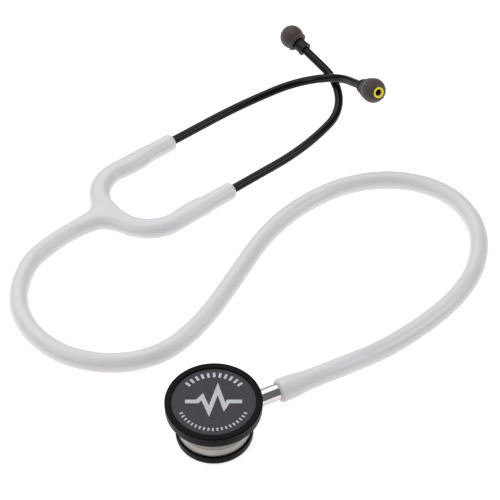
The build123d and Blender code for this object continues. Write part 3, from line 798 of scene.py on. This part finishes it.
# %% The marks' nodes
def marks_tree():
    """Geometry Nodes that set small bars along an arc, square to it."""
    tree = bpy.data.node_groups.new("dial_marks", "GeometryNodeTree")
    for name, kind in (("Arc radius", "Float"), ("Start", "Float"), ("Sweep", "Float"), ("Count", "Int"),
                       ("Mark length", "Float"), ("Mark width", "Float"), ("Corner radius", "Float"),
                       ("Ink height", "Float"), ("Finish", "Material")):
        tree.interface.new_socket(name, in_out="INPUT", socket_type=f"NodeSocket{kind}")
    tree.interface.new_socket("Geometry", in_out="OUTPUT", socket_type="NodeSocketGeometry")
    nodes, links = tree.nodes, tree.links
    start, end = nodes.new("NodeGroupInput"), nodes.new("NodeGroupOutput")
    arc = nodes.new("GeometryNodeCurveArc")
    arc.inputs["Resolution"].default_value = 64
    places = nodes.new("GeometryNodeCurveToPoints")
    outline = nodes.new("GeometryNodeCurvePrimitiveQuadrilateral")
    corners = nodes.new("GeometryNodeFilletCurve")
    corners.mode = "POLY"
    corners.inputs["Count"].default_value = 4
    face = nodes.new("GeometryNodeFillCurve")
    face.mode = "NGONS"
    raised = nodes.new("GeometryNodeExtrudeMesh")
    raised.inputs["Individual"].default_value = False
    underside = nodes.new("GeometryNodeFlipFaces")
    both = nodes.new("GeometryNodeJoinGeometry")
    bar = nodes.new("GeometryNodeMergeByDistance")
    bar.inputs["Distance"].default_value = 1e-6
    upright = nodes.new("GeometryNodeTransform")
    upright.inputs["Rotation"].default_value = (radians(90), 0, 0)
    copies = nodes.new("GeometryNodeInstanceOnPoints")
    real = nodes.new("GeometryNodeRealizeInstances")
    paint = nodes.new("GeometryNodeSetMaterial")
    links.new(start.outputs["Arc radius"], arc.inputs["Radius"])
    links.new(start.outputs["Start"], arc.inputs["Start Angle"])
    links.new(start.outputs["Sweep"], arc.inputs["Sweep Angle"])
    links.new(arc.outputs["Curve"], places.inputs["Curve"])
    links.new(start.outputs["Count"], places.inputs["Count"])
    links.new(start.outputs["Mark length"], outline.inputs["Width"])
    links.new(start.outputs["Mark width"], outline.inputs["Height"])
    links.new(outline.outputs["Curve"], corners.inputs["Curve"])
    links.new(start.outputs["Corner radius"], corners.inputs["Radius"])
    links.new(corners.outputs["Curve"], face.inputs["Curve"])
    links.new(face.outputs["Mesh"], raised.inputs["Mesh"])
    links.new(start.outputs["Ink height"], raised.inputs["Offset Scale"])
    links.new(face.outputs["Mesh"], underside.inputs["Mesh"])
    links.new(raised.outputs["Mesh"], both.inputs["Geometry"])
    links.new(underside.outputs["Mesh"], both.inputs["Geometry"])
    links.new(both.outputs["Geometry"], bar.inputs["Geometry"])
    links.new(bar.outputs["Geometry"], upright.inputs["Geometry"])
    links.new(places.outputs["Points"], copies.inputs["Points"])
    links.new(places.outputs["Rotation"], copies.inputs["Rotation"])
    links.new(upright.outputs["Geometry"], copies.inputs["Instance"])
    links.new(copies.outputs["Instances"], real.inputs["Geometry"])
    links.new(real.outputs["Geometry"], paint.inputs["Geometry"])
    links.new(start.outputs["Finish"], paint.inputs["Material"])
    links.new(paint.outputs["Geometry"], end.inputs["Geometry"])
    return tree


# %% [markdown]
# The upper arc has few bold marks and the lower one many fine ones. Both stand on the disc's face, so their
# lowest points are brought to that height and then measured.

# %% The two arcs of marks
disc_top = head_height - 0.8
ink_height = 0.04
mark_corner = 0.25
print_turn = view_angle
dial_marks = marks_tree()
mark_rows = [("upper_marks", 15.6, 40, 100, 11, (2.8, 1.2)), ("lower_marks", 16.0, 205, 130, 19, (1.7, 0.8))]
for name, radius, first, sweep_angle, count, (length, width) in mark_rows:
    row = bpy.data.objects.new(name, bpy.data.meshes.new(name))
    bpy.context.collection.objects.link(row)
    setting = row.modifiers.new("marks", "NODES")
    setting.node_group = dial_marks
    setting[socket_named(dial_marks, "Arc radius")] = radius * MM
    setting[socket_named(dial_marks, "Start")] = radians(first) + print_turn
    setting[socket_named(dial_marks, "Sweep")] = radians(sweep_angle)
    setting[socket_named(dial_marks, "Count")] = count
    setting[socket_named(dial_marks, "Mark length")] = length * MM
    setting[socket_named(dial_marks, "Mark width")] = width * MM
    setting[socket_named(dial_marks, "Corner radius")] = mark_corner * MM
    setting[socket_named(dial_marks, "Ink height")] = ink_height * MM
    setting[socket_named(dial_marks, "Finish")] = print_grey
    settle(row, setting)
    lowest = min(vert.co.z for vert in row.data.vertices)
    row.data.transform(Matrix.Translation((0, 0, disc_top * MM - lowest)))
    outward(row, 30)
    heights = [vert.co.z for vert in row.data.vertices]
    print(name, "z from", round(min(heights) / MM, 3), "to", round(max(heights) / MM, 3))
    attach(row, "chestpiece")

# %% [markdown]
# The heartbeat could be a bevelled curve, but its corners would be round. A ribbon is drawn instead: each
# corner is moved out along its mitre on both sides of the line, and a limit on the mitre's length keeps the
# sharp peaks from running out to needles.

# %% Heartbeat line
pulse = np.array([(-13, 0), (-7.4, 0), (-5.2, 2.8), (-2.0, -5.6), (1.8, 7.4), (5.0, -3.2), (6.8, 0),
                  (13, 0)], float)
half_width = 1.05
ways = np.diff(pulse, axis=0)
ways /= np.linalg.norm(ways, axis=1, keepdims=True)
edges = np.stack([-ways[:, 1], ways[:, 0]], 1)
mitres = np.vstack([edges[:1], edges[:-1] + edges[1:], edges[-1:]])
beside = np.vstack([edges[:1], edges[1:], edges[-1:]])
mitres *= half_width / np.maximum((mitres * beside).sum(1, keepdims=True), 0.12)
loop = np.vstack([pulse + mitres, (pulse - mitres)[::-1]])
across_print = np.array([cos(print_turn), sin(print_turn)])
up_print = np.array([-sin(print_turn), cos(print_turn)])
flat_loop = loop[:, :1] * across_print + loop[:, 1:] * up_print
size = len(loop)
low_loop = np.column_stack([flat_loop, np.full(size, disc_top)])
high_loop = low_loop + (0, 0, ink_height)
count = len(pulse)
faces = [(i, (i + 1) % size, size + (i + 1) % size, size + i) for i in range(size)]
for i in range(count - 1):
    ring = (i, i + 1, size - 2 - i, size - 1 - i)
    faces += [tuple(size + corner for corner in ring), tuple(reversed(ring))]
heartbeat = outward(add_mesh("heartbeat", np.vstack([low_loop, high_loop]), faces, print_grey), 30)
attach(heartbeat, "chestpiece")
print("heartbeat", len(heartbeat.data.polygons), "faces, line", 2 * half_width, "mm wide")

# %% [markdown]
# The drum, stem, diaphragm, seals, detent and leaf spring already have their right shape in the engineering
# model. They are left as they are and only given a finish.

# %% Finishes of the pieces that keep their model shape
node_finishes = {
    "chestpiece_body": steel, "stem": chrome, "diaphragm": slate, "diaphragm_seal": dark_rubber,
    "stem_seal_rings": dark_rubber, "detent_ball": chrome, "detent_spring": spring_steel,
    "detent_screw": spring_steel, "spring_bridge": spring_steel, "left_spring_arm": spring_steel,
    "right_spring_arm": spring_steel,
}
for node, material in node_finishes.items():
    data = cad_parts[node].data
    data.materials.clear()
    data.materials.append(material)
print(len(node_finishes), "model pieces given a finish")

# %% [markdown]
# ## Floor and light
# The floor is plain white paper. Lamps alone would leave it grey away from the object, or would burn out the
# white hose, so the paper also glows a little by itself.

# %% Floor
paper = bpy.data.materials.new("white_paper")
paper.use_nodes = True
paper.node_tree.nodes["Principled BSDF"].inputs["Base Color"].default_value = (0.9, 0.9, 0.9, 1)
paper.node_tree.nodes["Principled BSDF"].inputs["Roughness"].default_value = 0.9
paper.node_tree.nodes["Principled BSDF"].inputs["Specular IOR Level"].default_value = 0.0
paper.node_tree.nodes["Principled BSDF"].inputs["Emission Color"].default_value = (1.0, 0.965, 0.93, 1)
paper.node_tree.nodes["Principled BSDF"].inputs["Emission Strength"].default_value = 0.66
floor = add_mesh("floor", [(-3000, -3000, 0), (3000, -3000, 0), (3000, 3000, 0), (-3000, 3000, 0)],
                 [(0, 1, 2, 3)], paper)
print("floor", "6 m square")


# %% [markdown]
# A white hose on white paper shows only by its shading. One large soft lamp behind and above lights the tops
# of the hose and leaves the near sides darker; two small ones at the sides add highlights to the enamel and
# the steel.


# %% Lights
def soft_light(name, place, target, size, power):
    """A square soft box aimed at a point."""
    data = bpy.data.lights.new(name, "AREA")
    data.size = size
    data.energy = power
    light = bpy.data.objects.new(name, data)
    light.location = place
    light.rotation_euler = (Vector(target) - Vector(place)).to_track_quat("-Z", "Y").to_euler()
    bpy.context.collection.objects.link(light)
    return light


centre = (0.06, 0.12, 0)
soft_light("overhead", (0.0, 0.80, 1.15), centre, 1.7, 17)
soft_light("left", (-0.9, -0.1, 0.9), centre, 0.7, 4)
soft_light("right", (0.95, -0.45, 0.8), centre, 0.5, 4)
world = bpy.data.worlds.new("studio")
world.use_nodes = True
world.node_tree.nodes["Background"].inputs["Color"].default_value = (0.95, 0.955, 1.0, 1)
world.node_tree.nodes["Background"].inputs["Strength"].default_value = 0.25
bpy.context.scene.world = world
bpy.context.scene.view_settings.view_transform = "Standard"
